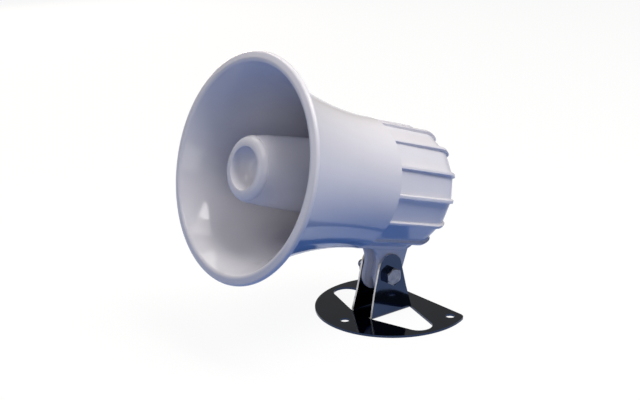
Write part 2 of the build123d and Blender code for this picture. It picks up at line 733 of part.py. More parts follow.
with BuildPart() as lock_washer:
    washer_inner = bolt_radius + bolt_clearance
    ring(pivot_plane(nut_seat), washer_inner + washer_width, washer_inner, washer_thickness)
    with BuildSketch(pivot_plane(nut_seat)):
        Rectangle(washer_slit, clear, align=(Align.CENTER, Align.MIN))
    extrude(amount=washer_thickness, mode=Mode.SUBTRACT)
lock_washer.part.label = "lock_washer"
export_step(lock_washer.part, "parts/lock_washer.step")

with BuildPart() as pivot_nut:
    add(turned_hexagon(nut_seat - nut_height, nut_seat, hex_chamfer, hex_chamfer))
    disc(pivot_plane(nut_seat - nut_height), bolt_radius + thread_clearance, nut_height, Mode.SUBTRACT)
pivot_nut.part.label = "pivot_nut"
export_step(pivot_nut.part, "parts/pivot_nut.step")
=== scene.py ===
import bmesh
import bpy
import json
from math import atan2, cos, pi, radians, sin, sqrt, tan
from mathutils import Matrix, Vector


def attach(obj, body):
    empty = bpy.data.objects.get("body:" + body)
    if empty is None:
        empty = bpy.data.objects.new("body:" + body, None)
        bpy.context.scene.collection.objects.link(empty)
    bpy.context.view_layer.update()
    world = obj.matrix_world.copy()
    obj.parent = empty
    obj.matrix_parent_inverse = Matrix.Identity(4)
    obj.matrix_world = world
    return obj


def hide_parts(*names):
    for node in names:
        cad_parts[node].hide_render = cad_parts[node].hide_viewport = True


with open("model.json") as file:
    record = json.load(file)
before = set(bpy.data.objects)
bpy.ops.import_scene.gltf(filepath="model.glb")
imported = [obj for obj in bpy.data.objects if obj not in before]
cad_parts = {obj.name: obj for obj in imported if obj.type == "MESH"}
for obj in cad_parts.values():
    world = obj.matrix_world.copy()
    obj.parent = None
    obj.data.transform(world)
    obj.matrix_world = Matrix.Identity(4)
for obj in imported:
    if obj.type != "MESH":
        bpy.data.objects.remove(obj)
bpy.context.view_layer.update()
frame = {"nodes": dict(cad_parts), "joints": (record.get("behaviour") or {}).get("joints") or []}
mm = 0.001
print("frame loaded")

# The horn's own space is in millimetres: x to the side, y down from its axis, z backwards from the mouth
hornPlace = {"boltStation": 132.6, "lugReach": 58.1}    # where the pivot bolt lies in that space

joints = {joint["name"]: joint for joint in frame["joints"]}
pivot = Vector(joints["horn_tilt"]["pos_m"])
backwards = Vector(joints["diaphragm_stroke"]["axis"]).normalized()
sideways = Vector((1, 0, 0))
downwards = backwards.cross(sideways)
mouthCentre = pivot - (backwards * hornPlace["boltStation"] + downwards * hornPlace["lugReach"]) * mm
hornTurn = Matrix((sideways, downwards, backwards)).transposed().to_4x4()
hornMatrix = Matrix.Translation(mouthCentre) @ hornTurn @ Matrix.Scale(mm, 4)
footMatrix = Matrix.Scale(mm, 4)
centre = Vector((0, 0, 0))
hornAxis = Vector((0, 0, 1))


# Colours and nodes

def linear(hexText):
    channels = [int(hexText[k:k + 2], 16) / 255 for k in (0, 2, 4)]
    return [c / 12.92 if c <= 0.04045 else ((c + 0.055) / 1.055) ** 2.4 for c in channels] + [1.0]


def addNode(material, kind, values=None, links=None, **settings):
    node = material.node_tree.nodes.new("ShaderNode" + kind)
    for name, value in settings.items():
        setattr(node, name, value)
    for socket, value in (values or {}).items():
        node.inputs[socket].default_value = value
    for socket, source in (links or {}).items():
        material.node_tree.links.new(source, node.inputs[socket])
    return node


materials = {}
mottle = {"cloudDetail": 4.0, "gritDetail": 3.0, "darkBelow": 0.3, "lightAbove": 0.7}


def mottled(name, light, dark, patch, gloss, grain, grainDepth, **sockets):
    # Two near colours in patches, a gloss that follows them and a fine grain; lengths in millimetres
    material = bpy.data.materials.new(name)
    material.use_nodes = True
    shader = material.node_tree.nodes["Principled BSDF"]
    for socket, value in sockets.items():
        shader.inputs[socket.replace("_", " ")].default_value = value
    place = addNode(material, "TexCoord").outputs["Object"]
    clouds = addNode(material, "TexNoise", {"Scale": 1 / (patch * mm), "Detail": mottle["cloudDetail"]},
                     {"Vector": place})
    colours = addNode(material, "ValToRGB", links={"Fac": clouds.outputs["Fac"]})
    positions = (mottle["darkBelow"], mottle["lightAbove"])
    for stop, position, colour in zip(colours.color_ramp.elements, positions, (dark, light)):
        stop.position = position
        stop.color = linear(colour)
    sheen = addNode(material, "MapRange", {"To Min": gloss[0], "To Max": gloss[1]},
                    {"Value": clouds.outputs["Fac"]})
    grit = addNode(material, "TexNoise", {"Scale": 1 / (grain * mm), "Detail": mottle["gritDetail"]},
                   {"Vector": place})
    bump = addNode(material, "Bump", {"Distance": grainDepth * mm}, {"Height": grit.outputs["Fac"]})
    for source, socket in ((colours.outputs["Color"], "Base Color"), (sheen.outputs["Result"], "Roughness"),
                           (bump.outputs["Normal"], "Normal")):
        material.node_tree.links.new(source, shader.inputs[socket])
    materials[name] = material


def makeMaterials():
    # Injection-moulded ABS: an even satin gloss with a faint pull from the mould
    mottled("whiteAbs", "dddce2", "d7d6dd", 60, (0.08, 0.13), 0.9, 0.003, IOR=1.5, Specular_IOR_Level=0.35)
    # Black nickel over polished steel: a dark mirror that the room shows in, a little hazy in patches
    mottled("blackNickel", "38455f", "313d56", 22, (0.05, 0.1), 1.4, 0.0015, Metallic=1.0)
    # The sheet's sheared edges, where the plating is thin and bright; painted much lighter than the faces, a
    # painted highlight along the ears' edges
    mottled("shearedEdgePaintedHighlight", "dcdcdf", "b4b4ba", 3, (0.2, 0.4), 0.5, 0.01, Metallic=1.0)
    # Bright zinc on cold-headed steel: a cool grey with a blue cast, slightly dull in patches
    mottled("brightZinc", "7b8294", "626a80", 2.5, (0.14, 0.26), 0.4, 0.004, Metallic=1.0)
    # Moulded black rubber: matt, with a dusty bloom
    mottled("blackRubber", "2b2b2d", "1d1d1f", 4, (0.6, 0.75), 0.3, 0.02, IOR=1.52)
    # Glass-filled black moulding of the sound path: matt, fine flow grain
    mottled("blackMoulding", "2a2b2e", "1f2023", 8, (0.42, 0.55), 0.5, 0.01, IOR=1.54)
    # Phenolic paper board: brown, with darker fibres
    mottled("paperLaminate", "8c5a30", "6d4322", 1.5, (0.4, 0.55), 0.3, 0.01, IOR=1.55)
    # Resin-bonded cloth of the diaphragm: amber, with a fine tooth
    mottled("resinCloth", "a9803f", "8c6730", 1.2, (0.35, 0.5), 0.35, 0.02, IOR=1.5)
    # Bare aluminium foil: bright, faintly creased
    mottled("aluminiumFoil", "dcdcdf", "c6c6cb", 3, (0.22, 0.34), 0.6, 0.006, Metallic=1.0)
    # Enamelled copper winding: reddish, as uneven as its turns
    mottled("enamelledCopper", "c77a4e", "a85f38", 0.8, (0.25, 0.38), 0.2, 0.02, Metallic=1.0)
    # Yellow-passivated steel of the magnet's plates: straw in two tones, softly shining
    mottled("passivatedSteel", "cdbd86", "b5a77c", 5, (0.3, 0.42), 0.5, 0.006, Metallic=1.0)
    # Sintered ferrite: near black, ground faces with fine pits
    mottled("groundFerrite", "2c2d30", "1f2022", 1.5, (0.45, 0.6), 0.3, 0.02, IOR=2.2)
    # Tinned brass tags: pale grey metal with a yellow shade where the tin is thin
    mottled("tinnedBrass", "d6d2c4", "c4ba95", 1.5, (0.25, 0.4), 0.3, 0.005, Metallic=1.0)


makeMaterials()
print("materials made")


# Shapes that several pieces share; profiles are points (station, radius)

def sweepArc(middle, first, last, steps):
    # Points on an arc about the middle, from one arm to the other
    sweep = first.angle(last)
    shares = [k / steps for k in range(steps + 1)]
    return [middle + (first * sin((1 - k) * sweep) + last * sin(k * sweep)) / sin(sweep) for k in shares]


def roundCorner(before, corner, after, radius, steps):
    inward = (before - corner).normalized()
    outward = (after - corner).normalized()
    halfTurn = inward.angle(outward) / 2
    middle = corner + (inward + outward).normalized() * radius / sin(halfTurn)
    first = corner + inward * radius / tan(halfTurn) - middle
    last = corner + outward * radius / tan(halfTurn) - middle
    return sweepArc(middle, first, last, steps)


def arcBetween(start, end, rise, steps):
    # A flat arc that stands out of its chord by the rise, to the left of the way it runs
    chord = end - start
    radius = (chord.length ** 2 / 4 + rise ** 2) / (2 * rise)
    left = Vector((-chord.y, chord.x)).normalized()
    middle = (start + end) / 2 - left * (radius - rise)
    return sweepArc(middle, start - middle, end - middle, steps)


def turnProfile(mesh, points, steps):
    # Turns a closed profile round the horn's axis
    corners = [mesh.verts.new((out, 0, along)) for along, out in points]
    edges = [mesh.edges.new((a, b)) for a, b in zip(corners, corners[1:] + corners[:1])]
    bmesh.ops.spin(mesh, geom=corners + edges, cent=centre, axis=hornAxis, angle=2 * pi, steps=steps,
                   use_merge=True)
    bmesh.ops.remove_doubles(mesh, verts=mesh.verts, dist=0.0005)


def finishPiece(mesh, name, body, replaced, finishes, matrix, sharpAngle=40):
    bmesh.ops.recalc_face_normals(mesh, faces=mesh.faces)
    mesh.transform(matrix)
    for face in mesh.faces:
        face.smooth = True
    for edge in mesh.edges:
        edge.smooth = len(edge.link_faces) == 2 and edge.calc_face_angle() < radians(sharpAngle)
    data = bpy.data.meshes.new(name)
    mesh.to_mesh(data)
    mesh.free()
    for finish in finishes:
        data.materials.append(materials[finish])
    piece = bpy.data.objects.new(name, data)
    bpy.context.scene.collection.objects.link(piece)
    weighted = piece.modifiers.new("evenShading", "WEIGHTED_NORMAL")
    weighted.keep_sharp = True
    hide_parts(*replaced)
    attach(piece, body)
    print(name, len(data.polygons), "faces")


def mergedCopy(node):
    # A CAD node's mesh in millimetres, its loose triangles joined and its flat faces whole
    mesh = bmesh.new()
    mesh.from_mesh(frame["nodes"][node].data)
    mesh.transform(Matrix.Scale(1 / mm, 4))
    bmesh.ops.remove_doubles(mesh, verts=mesh.verts, dist=0.001)
    bmesh.ops.dissolve_limit(mesh, angle_limit=radians(0.3), verts=mesh.verts, edges=mesh.edges)
    return mesh


def softenEdges(mesh, width, segments, sharpest=50, wanted=None):
    edges = [e for e in mesh.edges if len(e.link_faces) == 2 and e.calc_face_angle() > radians(sharpest)
             and (wanted is None or wanted(e))]
    bmesh.ops.bevel(mesh, geom=edges, offset=width, segments=segments, profile=0.5, affect="EDGES",
                    material=-1, clamp_overlap=True)


# The bell: one moulding of flare, rim, ribbed housing and foot lug

bell = {
    "rimRadius": 70.5, "rimSlope": 1.2, "rimThickness": 2.8, "rimRound": (1.9, 0.9), "mouthRound": 3.0,
    "lipStart": 4.6, "lipReach": 16.0, "lipOpening": 2.6,
    "flareLength": 93.4, "flareStart": 65.0, "flarePower": 1.9, "wall": 2.8,
    "ribs": 14, "ribWidth": 2.5, "ribFoot": 0.4, "ribCrown": 0.5,
    "crowns": (42.6, 41.8, 37.4), "flats": (41.2, 39.7, 35.3),
    "shoulder": 134.0, "length": 146.3, "tailBulge": 1.3,
    "coverRecess": (141.6, 32.4), "bore": (100.5, 30.6), "channelDepth": 95.5, "channelRound": 8.0,
    "tubeSeat": (98.5, 15.0), "tubeHole": 11.1,
    "panelShares": (0.4, 0.75, 0.92), "panelStep": ((0.0, 0.12), (0.08, 0.9), (0.35, 1.0)),
    "twistStart": 88.0, "twistGap": 0.15, "tailEdge": 0.4, "tailLift": 0.1, "recessEdge": 0.3,
    "rimBackRing": 1.0,
    "flareRings": 26, "twistRings": 5, "panelRings": 5, "tailRings": 10,
}
halfPitch = pi / bell["ribs"]
ribPoints = 10      # points from a panel's middle to a rib's middle


def flareRadius(along):
    # The flare opens by one law, and a little faster just behind the rim
    openness = 1 - along / bell["flareLength"]
    lip = max(0, 1 - along / bell["lipReach"])
    return (bell["crowns"][0] + (bell["flareStart"] - bell["crowns"][0]) * openness ** bell["flarePower"]
            + bell["lipOpening"] * lip ** 2)


def housingPoint(order, crown, flat):
    # Half of a panel and half of a rib, mirrored about the rib's middle
    half = bell["ribWidth"] / 2
    run = (flat * sin(halfPitch) - half) / cos(halfPitch)
    along = Vector((cos(halfPitch), sin(halfPitch)))
    start = Vector((-flat * sin(halfPitch), flat * cos(halfPitch)))
    foot = start + along * run
    top = Vector((-half, sqrt(crown ** 2 - half ** 2)))
    upper = top + Vector((bell["ribCrown"], 0))
    outline = [start, *[start + along * run * share for share in bell["panelShares"]],
               *roundCorner(start, foot, top, bell["ribFoot"], 2),
               *roundCorner(foot, top, upper, bell["ribCrown"], 2), Vector((0, crown))]
    point = outline[min(order, 2 * ribPoints - order)]
    return point if order <= ribPoints else Vector((-point.x, point.y))


def ringPoint(order, ring):
    # A ring is (station, crown, flat, share of the housing's outline, share of even spacing)
    along, crown, flat, shaped, even = ring
    front = housingPoint(order, bell["crowns"][0], bell["flats"][0] * cos(halfPitch))
    spread = halfPitch * (order / ribPoints - 1)
    angle = atan2(front.x, front.y) * (1 - even) + spread * even
    point = Vector((sin(angle), cos(angle))) * crown
    if shaped:
        point = point.lerp(housingPoint(order, crown, flat), shaped)
    turned = point.to_3d()
    turned.rotate(Matrix.Rotation(-halfPitch, 3, "Z"))
    return Vector((turned.x, turned.y, along))


def bellRings():
    rings = []
    back = bell["rimSlope"] + bell["rimThickness"]
    steps, twist = bell["flareRings"], bell["twistRings"]
    for k in range(steps + 1):
        along = back + (bell["twistStart"] - back) * k / steps
        rings.append((along, flareRadius(along), 0, 0, 1))
    # The ring's points move over from even spacing to the ribs' places
    for k in range(1, twist + 1):
        along = bell["twistStart"] + (bell["flareLength"] - bell["twistGap"] - bell["twistStart"]) * k / twist
        rings.append((along, flareRadius(along), 0, 0, 1 - k / twist))
    straight = [(bell["flareLength"], bell["crowns"][0]), (bell["shoulder"], bell["crowns"][1])]
    # The panels' front step, with a small roundness at its top and foot
    flats = [flat * cos(halfPitch) for flat in bell["flats"]]
    for lead, shaped in bell["panelStep"]:
        rings.append((bell["flareLength"] + lead, bell["crowns"][0], flats[0], shaped, 0))
    for k in range(1, bell["panelRings"] + 1):
        share = k / bell["panelRings"]
        rings.append((straight[0][0] + (straight[1][0] - straight[0][0]) * share,
                      straight[0][1] + (straight[1][1] - straight[0][1]) * share,
                      flats[0] + (flats[1] - flats[0]) * share, 1, 0))
    crownArc = arcBetween(Vector(straight[1]), Vector((bell["length"], bell["crowns"][2])),
                          bell["tailBulge"], bell["tailRings"])
    flatArc = arcBetween(Vector((bell["shoulder"], flats[1])), Vector((bell["length"], flats[2])),
                         bell["tailBulge"], bell["tailRings"])
    for crown, flat in zip(crownArc[1:-1], flatArc[1:-1]):
        rings.append((crown.x, crown.y, flat.y, 1, 0))
    # The tail's back edge, a little rounded
    edge = bell["tailEdge"]
    for before, sunk in ((edge, -bell["tailLift"]), (edge * 0.3, edge * 0.3), (0, edge)):
        rings.append((bell["length"] - before, crownArc[-1].y - sunk, flatArc[-1].y - sunk, 1, 0))
    seat, recess = bell["coverRecess"]
    floor, bore = bell["bore"]
    tubeSeat, flange = bell["tubeSeat"]
    depth = bell["channelDepth"]
    channelWall = flareRadius(depth - bell["channelRound"]) - bell["wall"]
    chamfer = bell["recessEdge"]
    inside = [(bell["length"], recess + chamfer), (bell["length"] - chamfer, recess), (seat, recess),
              (seat, bore)]
    rings += [(along, out, 0, 0, 0) for along, out in inside]
    deep = [(floor, bore), (floor, flange), (tubeSeat, flange), (tubeSeat, bell["tubeHole"]),
            (depth, bell["tubeHole"])]
    rings += [(along, out, 0, 0, 1) for along, out in deep]
    channel = roundCorner(Vector((depth, bell["tubeHole"])), Vector((depth, channelWall)),
                          Vector((0, channelWall)), bell["channelRound"], 8)
    rings += [(point.x, point.y, 0, 0, 1) for point in channel]
    first = depth - bell["channelRound"]
    last = bell["lipStart"]
    for k in range(1, steps + 1):
        along = first + (last - first) * k / steps
        rings.append((along, flareRadius(along) - bell["wall"], 0, 0, 1))
    flareBack = Vector((back, flareRadius(back)))
    mouth = Vector((0, flareRadius(0) - bell["wall"]))
    rimFront = Vector((bell["rimSlope"], bell["rimRadius"]))
    rimBack = Vector((back, bell["rimRadius"]))
    inner = Vector((last, flareRadius(last) - bell["wall"]))
    face = roundCorner(inner, mouth, rimFront, bell["mouthRound"], 10)
    face += roundCorner(mouth, rimFront, rimBack, bell["rimRound"][0], 7)
    face += roundCorner(rimFront, rimBack, flareBack, bell["rimRound"][1], 5)
    rings += [(point.x, point.y, 0, 0, 1) for point in face]
    rings.append((back, flareBack.y + bell["rimBackRing"], 0, 0, 1))
    rings.append((*flareBack, 0, 0, 1))
    return rings


def loftSector(mesh, rings):
    # One panel with half a rib on each side, extruded from ring to ring
    order = mesh.verts.layers.int.new("order")
    newest = []
    for k in range(2 * ribPoints + 1):
        vert = mesh.verts.new(ringPoint(k, rings[0]))
        vert[order] = k
        newest.append(vert)
    edges = [mesh.edges.new(pair) for pair in zip(newest, newest[1:])]
    for ring in rings[1:]:
        grown = bmesh.ops.extrude_edge_only(mesh, edges=edges)["geom"]
        newest = [item for item in grown if isinstance(item, bmesh.types.BMVert)]
        newest.sort(key=lambda vert: vert[order])
        edges = [mesh.edges.get(pair) for pair in zip(newest, newest[1:])]
        for vert in newest:
            vert.co = ringPoint(vert[order], ring)


# The lug under the housing: two side walls and a set-back web between them
lug = {
    "radius": 10.8, "drop": 2.6, "blend": 15.0, "blendRise": 3.0, "rootDepth": 34.2, "splay": 1.9,
    "halfWidth": 7.7, "sideWall": 3.3, "webInset": 5.4, "webOverlap": 0.5, "bore": 3.25,
    "softEdge": 1.1, "softSteps": 4, "bossSteps": 24, "blendSteps": 16, "boreSteps": 48,
}


def lugOutline(inset):
    # Points (station, depth) round the lug, seen from its side
    station, reach = hornPlace["boltStation"], hornPlace["lugReach"]
    radius = lug["radius"] - inset
    blend = lug["blend"] + inset
    blendMiddle = Vector((station - lug["radius"] - lug["blend"], reach - lug["blendRise"]))
    bossMiddle = Vector((station, reach + lug["drop"]))
    halfTurn = [pi * k / lug["bossSteps"] for k in range(lug["bossSteps"] + 1)]
    quarterTurn = [pi / 2 * k / lug["blendSteps"] for k in range(lug["blendSteps"] + 1)]
    boss = [bossMiddle + Vector((cos(turn), sin(turn))) * radius for turn in halfTurn]
    hollow = [blendMiddle + Vector((cos(turn), -sin(turn))) * blend for turn in quarterTurn]
    root = [Vector((blendMiddle.x, lug["rootDepth"])),
            Vector((station + radius + lug["splay"], lug["rootDepth"]))]
    return boss + hollow + root


def addLugPlate(mesh, inset, start, width, soft):
    # A flat plate with the bolt's bore, from the start sideways by its width
    axisPoint = Vector((0, hornPlace["lugReach"], hornPlace["boltStation"]))
    plate = bmesh.new()
    rim = [plate.verts.new((start, point.y, point.x)) for point in lugOutline(inset)]
    for pair in zip(rim, rim[1:] + rim[:1]):
        plate.edges.new(pair)
    turn = Matrix.Translation(axisPoint + sideways * start) @ Matrix.Rotation(pi / 2, 4, "Y")
    bmesh.ops.create_circle(plate, segments=lug["boreSteps"], radius=lug["bore"], matrix=turn)
    bmesh.ops.triangle_fill(plate, edges=plate.edges[:], use_beauty=True, use_dissolve=False)
    bmesh.ops.dissolve_limit(plate, angle_limit=radians(1), verts=plate.verts, edges=plate.edges)
    grown = bmesh.ops.extrude_face_region(plate, geom=plate.faces[:])["geom"]
    far = [item for item in grown if isinstance(item, bmesh.types.BMVert)]
    bmesh.ops.translate(plate, vec=(width, 0, 0), verts=far)
    bmesh.ops.recalc_face_normals(plate, faces=plate.faces)
    if soft:
        def onOutline(edge):
            middle = (edge.verts[0].co + edge.verts[1].co) / 2 - axisPoint
            return Vector((middle.y, middle.z)).length > lug["bore"] + 1
        softenEdges(plate, soft, lug["softSteps"], wanted=onOutline)
    joined = bpy.data.meshes.new("lugPlate")
    plate.to_mesh(joined)
    plate.free()
    mesh.from_mesh(joined)
    bpy.data.meshes.remove(joined)


def makeBell():
    mesh = bmesh.new()
    loftSector(mesh, bellRings())
    sectors = bell["ribs"]
    bmesh.ops.spin(mesh, geom=mesh.verts[:] + mesh.edges[:] + mesh.faces[:], cent=centre, axis=hornAxis,
                   angle=2 * pi * (sectors - 1) / sectors, steps=sectors - 1, use_duplicate=True)
    bmesh.ops.remove_doubles(mesh, verts=mesh.verts, dist=0.001)
    inner = lug["halfWidth"] - lug["sideWall"]
    overlap = lug["webOverlap"]
    addLugPlate(mesh, 0, inner, lug["sideWall"], lug["softEdge"])
    addLugPlate(mesh, 0, -lug["halfWidth"], lug["sideWall"], lug["softEdge"])
    addLugPlate(mesh, lug["webInset"], -inner - overlap, 2 * (inner + overlap), 0)
    finishPiece(mesh, "hornBell", "horn", ["horn_bell"], ["whiteAbs"], hornMatrix)


makeBell()


# The reflector: a tube closed in front by a fat lip and a deep dish, on three legs
reflector = {
    "dishFloor": (13.0, 10.9), "dishRound": 7.5, "edgeRound": 0.3, "step": (6.8, 20.1),
    "lipFace": 2.9, "lipCrown": 14.3, "lipRadius": 19.7, "lipBack": 6.4, "lipTurn": -12,
    "front": (16.0, 21.4), "middle": (48.0, 23.3), "rear": (84.0, 25.3), "wall": 2.2,
    "legs": 3, "legSize": (6.0, 5.7, 25.5), "legRadius": 22.45, "legEnd": 95.5, "legRound": 0.4,
    "stepRound": 0.15, "rearRound": 0.6, "lipSteps": 20, "tubeSteps": 12, "turnSteps": 160,
}


def tubeRadius(along):
    # A smooth curve through the reflector's three radii
    (s0, r0), (s1, r1), (s2, r2) = reflector["front"], reflector["middle"], reflector["rear"]
    return (r0 * (along - s1) * (along - s2) / ((s0 - s1) * (s0 - s2))
            + r1 * (along - s0) * (along - s2) / ((s1 - s0) * (s1 - s2))
            + r2 * (along - s0) * (along - s1) / ((s2 - s0) * (s2 - s1)))


def makeReflector():
    mesh = bmesh.new()
    floor, floorRadius = reflector["dishFloor"]
    face, lipRadius, wall = reflector["lipFace"], reflector["lipRadius"], reflector["wall"]
    stepAlong, stepRadius = reflector["step"]
    floorMiddle, floorCorner = Vector((floor, 0)), Vector((floor, floorRadius))
    # The lip is a part of an ellipse, from the dish's crisp edge over its crown to its side
    back, crown = reflector["lipBack"], reflector["lipCrown"]
    lipTurn, lipSteps = reflector["lipTurn"], reflector["lipSteps"]
    turns = [radians(lipTurn + (90 - lipTurn) * k / lipSteps) for k in range(lipSteps + 1)]
    lip = [Vector((back - (back - face) * cos(turn), crown + (lipRadius - crown) * sin(turn)))
           for turn in turns]
    stepFoot, stepTop = Vector((stepAlong, lipRadius)), Vector((stepAlong, stepRadius))
    points = [floorMiddle, *roundCorner(floorMiddle, floorCorner, lip[0], reflector["dishRound"], 8)]
    points += roundCorner(floorCorner, lip[0], lip[2], reflector["edgeRound"], 5)
    points += lip[2:]
    tubeFront = Vector(reflector["front"])
    points += [stepFoot, *roundCorner(stepFoot, stepTop, tubeFront, reflector["stepRound"], 3)]
    front, rear = reflector["front"][0], reflector["rear"][0]
    tubeSteps = reflector["tubeSteps"]
    runs = [front + (rear - front) * k / tubeSteps for k in range(tubeSteps + 1)]
    outside = [Vector((along, tubeRadius(along))) for along in runs]
    inside = [Vector((along, tubeRadius(along) - wall)) for along in reversed(runs)]
    points += outside[:-1]
    points += roundCorner(outside[-2], outside[-1], inside[0], reflector["rearRound"], 3)
    points += inside
    # The hollow behind the dish
    cavity = floor + wall
    points += [Vector((face + wall, lipRadius - wall)), Vector((face + wall, lip[0].y + wall)),
               Vector((cavity, floorRadius + wall)), Vector((cavity, 0))]
    turnProfile(mesh, points, reflector["turnSteps"])
    along = reflector["legEnd"] - reflector["legSize"][2] / 2
    for k in range(reflector["legs"]):
        turn = Matrix.Rotation(2 * pi * k / reflector["legs"], 4, "Z")
        place = turn @ Matrix.Translation((0, reflector["legRadius"], along))
        leg = bmesh.ops.create_cube(mesh, size=1)["verts"]
        bmesh.ops.scale(mesh, vec=reflector["legSize"], verts=leg)
        bmesh.ops.transform(mesh, matrix=place, verts=leg)
        edges = list(dict.fromkeys(edge for vert in leg for edge in vert.link_edges))
        bmesh.ops.bevel(mesh, geom=edges, offset=reflector["legRound"], segments=2, profile=0.5,
                        affect="EDGES", material=-1)
    finishPiece(mesh, "reflectorTube", "horn", ["reflector"], ["whiteAbs"], hornMatrix)


makeReflector()

# The bracket: one plated sheet, its ears' sheared edges brighter than its faces, partly bare steel and partly
# a painted highlight
bracket = {"sheet": 1.5, "softEdge": 0.22, "foldTop": 5.0}      # above foldTop a face is on an ear


def makeBracket():
    mesh = mergedCopy("bracket")
    # On an ear or its fold, a face that doesn't look sideways is a sheared edge and takes the light edge
    # finish, a painted highlight
    for face in mesh.faces:
        height = face.calc_center_median().z
        normal = face.normal
        onEar = height > bracket["foldTop"] or (height > bracket["sheet"] + 0.01 and abs(normal.y) > 0.9)
        face.material_index = int(onEar and abs(normal.x) < 0.2)
    softenEdges(mesh, bracket["softEdge"], 2, 60)
    finishPiece(mesh, "bracketSheet", "foot", ["bracket"], ["blackNickel", "shearedEdgePaintedHighlight"],
                footMatrix)


makeBracket()

# The pivot's bolt, lock washer and nut; the bolt's free end shows its thread
boltSizes = {"softEdge": 0.25, "nutFace": -16.65, "tip": -21.55, "radius": 3.17, "core": 2.7, "pitch": 1.27,
             "tipCone": 0.8, "tipEdge": 0.3, "coreSides": 48, "turnSteps": 36,
             "coreInNut": 0.3, "shankInNut": 0.5, "rootStart": 0.05, "rootSunk": 0.1,
             "threadShares": (0.42, 0.58, 0.95)}    # of the pitch: the crest's start and end, the root's end


def addThread(mesh):
    start, tip = boltSizes["nutFace"] + boltSizes["coreInNut"], boltSizes["tip"]
    core, pitch = boltSizes["core"], boltSizes["pitch"]
    height = pivot.z / mm
    lie = Matrix.Translation(((start + tip) / 2, 0, height)) @ Matrix.Rotation(pi / 2, 4, "Y")
    made = bmesh.ops.create_cone(mesh, cap_ends=True, segments=boltSizes["coreSides"], radius1=core,
                                 radius2=core, depth=start - tip, matrix=lie)
    ends = dict.fromkeys(edge for vert in made["verts"] for edge in vert.link_edges
                         if all(abs(end.co.x - tip) < 0.01 for end in edge.verts))
    bmesh.ops.bevel(mesh, geom=list(ends), offset=boltSizes["tipEdge"], segments=2, profile=0.5,
                    affect="EDGES", material=-1)
    # The ridge's section is spun into a helix that sinks a little into the core
    turns = (start - tip - boltSizes["tipCone"]) / pitch
    steps = int(turns * boltSizes["turnSteps"])
    sunk, crest = core - boltSizes["rootSunk"], boltSizes["radius"]
    crestStart, crestEnd, rootEnd = (pitch * share for share in boltSizes["threadShares"])
    shape = ((boltSizes["rootStart"], sunk), (crestStart, crest), (crestEnd, crest), (rootEnd, sunk))
    ridge = mesh.faces.new([mesh.verts.new((start - along, 0, height + out)) for along, out in shape])
    bmesh.ops.spin(mesh, geom=[ridge], cent=(start, 0, height), axis=sideways,
                   dvec=(-(turns - 1) * pitch / steps, 0, 0), angle=2 * pi * turns, steps=steps)


def makeBolt():
    mesh = mergedCopy("pivot_bolt")
    softenEdges(mesh, boltSizes["softEdge"], 2, 25)
    inNut = boltSizes["nutFace"] + boltSizes["shankInNut"]
    geometry = mesh.verts[:] + mesh.edges[:] + mesh.faces[:]
    cut = bmesh.ops.bisect_plane(mesh, geom=geometry, plane_co=(inNut, 0, 0), plane_no=(-1, 0, 0),
                                 clear_outer=True)
    rim = [item for item in cut["geom_cut"] if isinstance(item, bmesh.types.BMEdge)]
    bmesh.ops.holes_fill(mesh, edges=rim, sides=0)
    addThread(mesh)
    finishPiece(mesh, "pivotBolt", "foot", ["pivot_bolt"], ["brightZinc"], footMatrix, 30)


makeBolt()

# Turned and moulded pieces that keep their form and only lose their knife edges:
# node, body, slot, finish and the width of the softened edge
dressed = {
    "rearCover": ("rear_cover", "horn", "white_moulding", "whiteAbs", 0.3),
    "coverScrews": ("cover_screws", "horn", "bright_plating", "brightZinc", 0.15),
    "cableGrommet": ("cable_grommet", "horn", "rubber", "blackRubber", 0.3),
    "pivotNut": ("pivot_nut", "foot", "bright_plating", "brightZinc", 0.2),
    "lockWasher": ("lock_washer", "foot", "bright_plating", "brightZinc", 0.15),
}


def makeDressed():
    for name, (node, body, slotName, finish, soft) in dressed.items():
        mesh = mergedCopy(node)
        softenEdges(mesh, soft, 2, 40)
        finishPiece(mesh, name, body, [node], [finish], footMatrix, 30)


makeDressed()

# Pieces that keep their solids and get their finish here
keptFinishes = {
    "throat_tube": "blackMoulding", "phase_plate": "blackMoulding", "reflector_screws": "brightZinc",
    "driver_gasket": "blackRubber", "cover_seal": "blackRubber",
    "dome": "resinCloth", "surround": "resinCloth", "coil_former": "aluminiumFoil",
    "voice_coil": "enamelledCopper", "top_plate": "passivatedSteel",
    "pole_yoke": "passivatedSteel", "magnet": "groundFerrite", "terminal_board": "paperLaminate",
    "terminal_tags": "tinnedBrass", "board_rivets": "aluminiumFoil",
}
for node, finish in keptFinishes.items():
    keptMesh = frame["nodes"][node].data
    keptMesh.materials.clear()
    keptMesh.materials.append(materials[finish])
print("kept solids finished")

# Floor, light and camera
studio = {
    "floorSize": 12.0, "floorShown": "ffffff", "floorBounce": "245eab", "glow": 0.92, "mirrored": 0.6,
    "world": "b4c0e2", "worldStrength": 0.05, "worldMirrored": "8a8478", "aim": (0, -0.02, 0.08),
    "lamps": {
        "keyBox": {"place": (0.34, 0.1, 1.2), "size": (0.6, 0.95), "power": 5.4, "colour": "fffaf4"},
        "topBox": {"place": (0.65, 0.3, 1.4), "size": (0.8, 0.8), "power": 16.5, "colour": "fffcf8"},
        "leftBox": {"place": (-0.8, -0.2, 1.2), "size": (0.6, 0.6), "power": 3.4, "colour": "fffcf8"},
        "frontBox": {"place": (-0.6, -1.2, 0.3), "size": (0.6, 0.6), "power": 1.8, "colour": "fffcf4"},
        "sideFill": {"place": (1.2, -0.8, 0.4), "size": (0.6, 0.6), "power": 2.6, "colour": "fffcf4"},
        "leftFill": {"place": (-1.4, 0.3, 0.5), "size": (0.8, 0.8), "power": 7.0, "colour": "fff0dc"},
        "noseBox": {"place": (0.0, -0.9, 1.2), "size": (0.5, 0.5), "power": 3.2, "colour": "fffaf8"},
    },
}
cameraSetting = {"place": (0.58149, -0.49553, 0.32208), "azimuth": 52.58, "elevation": 17.68, "roll": -1.07,
                 "lens": 68.49, "clip": (0.01, 50)}
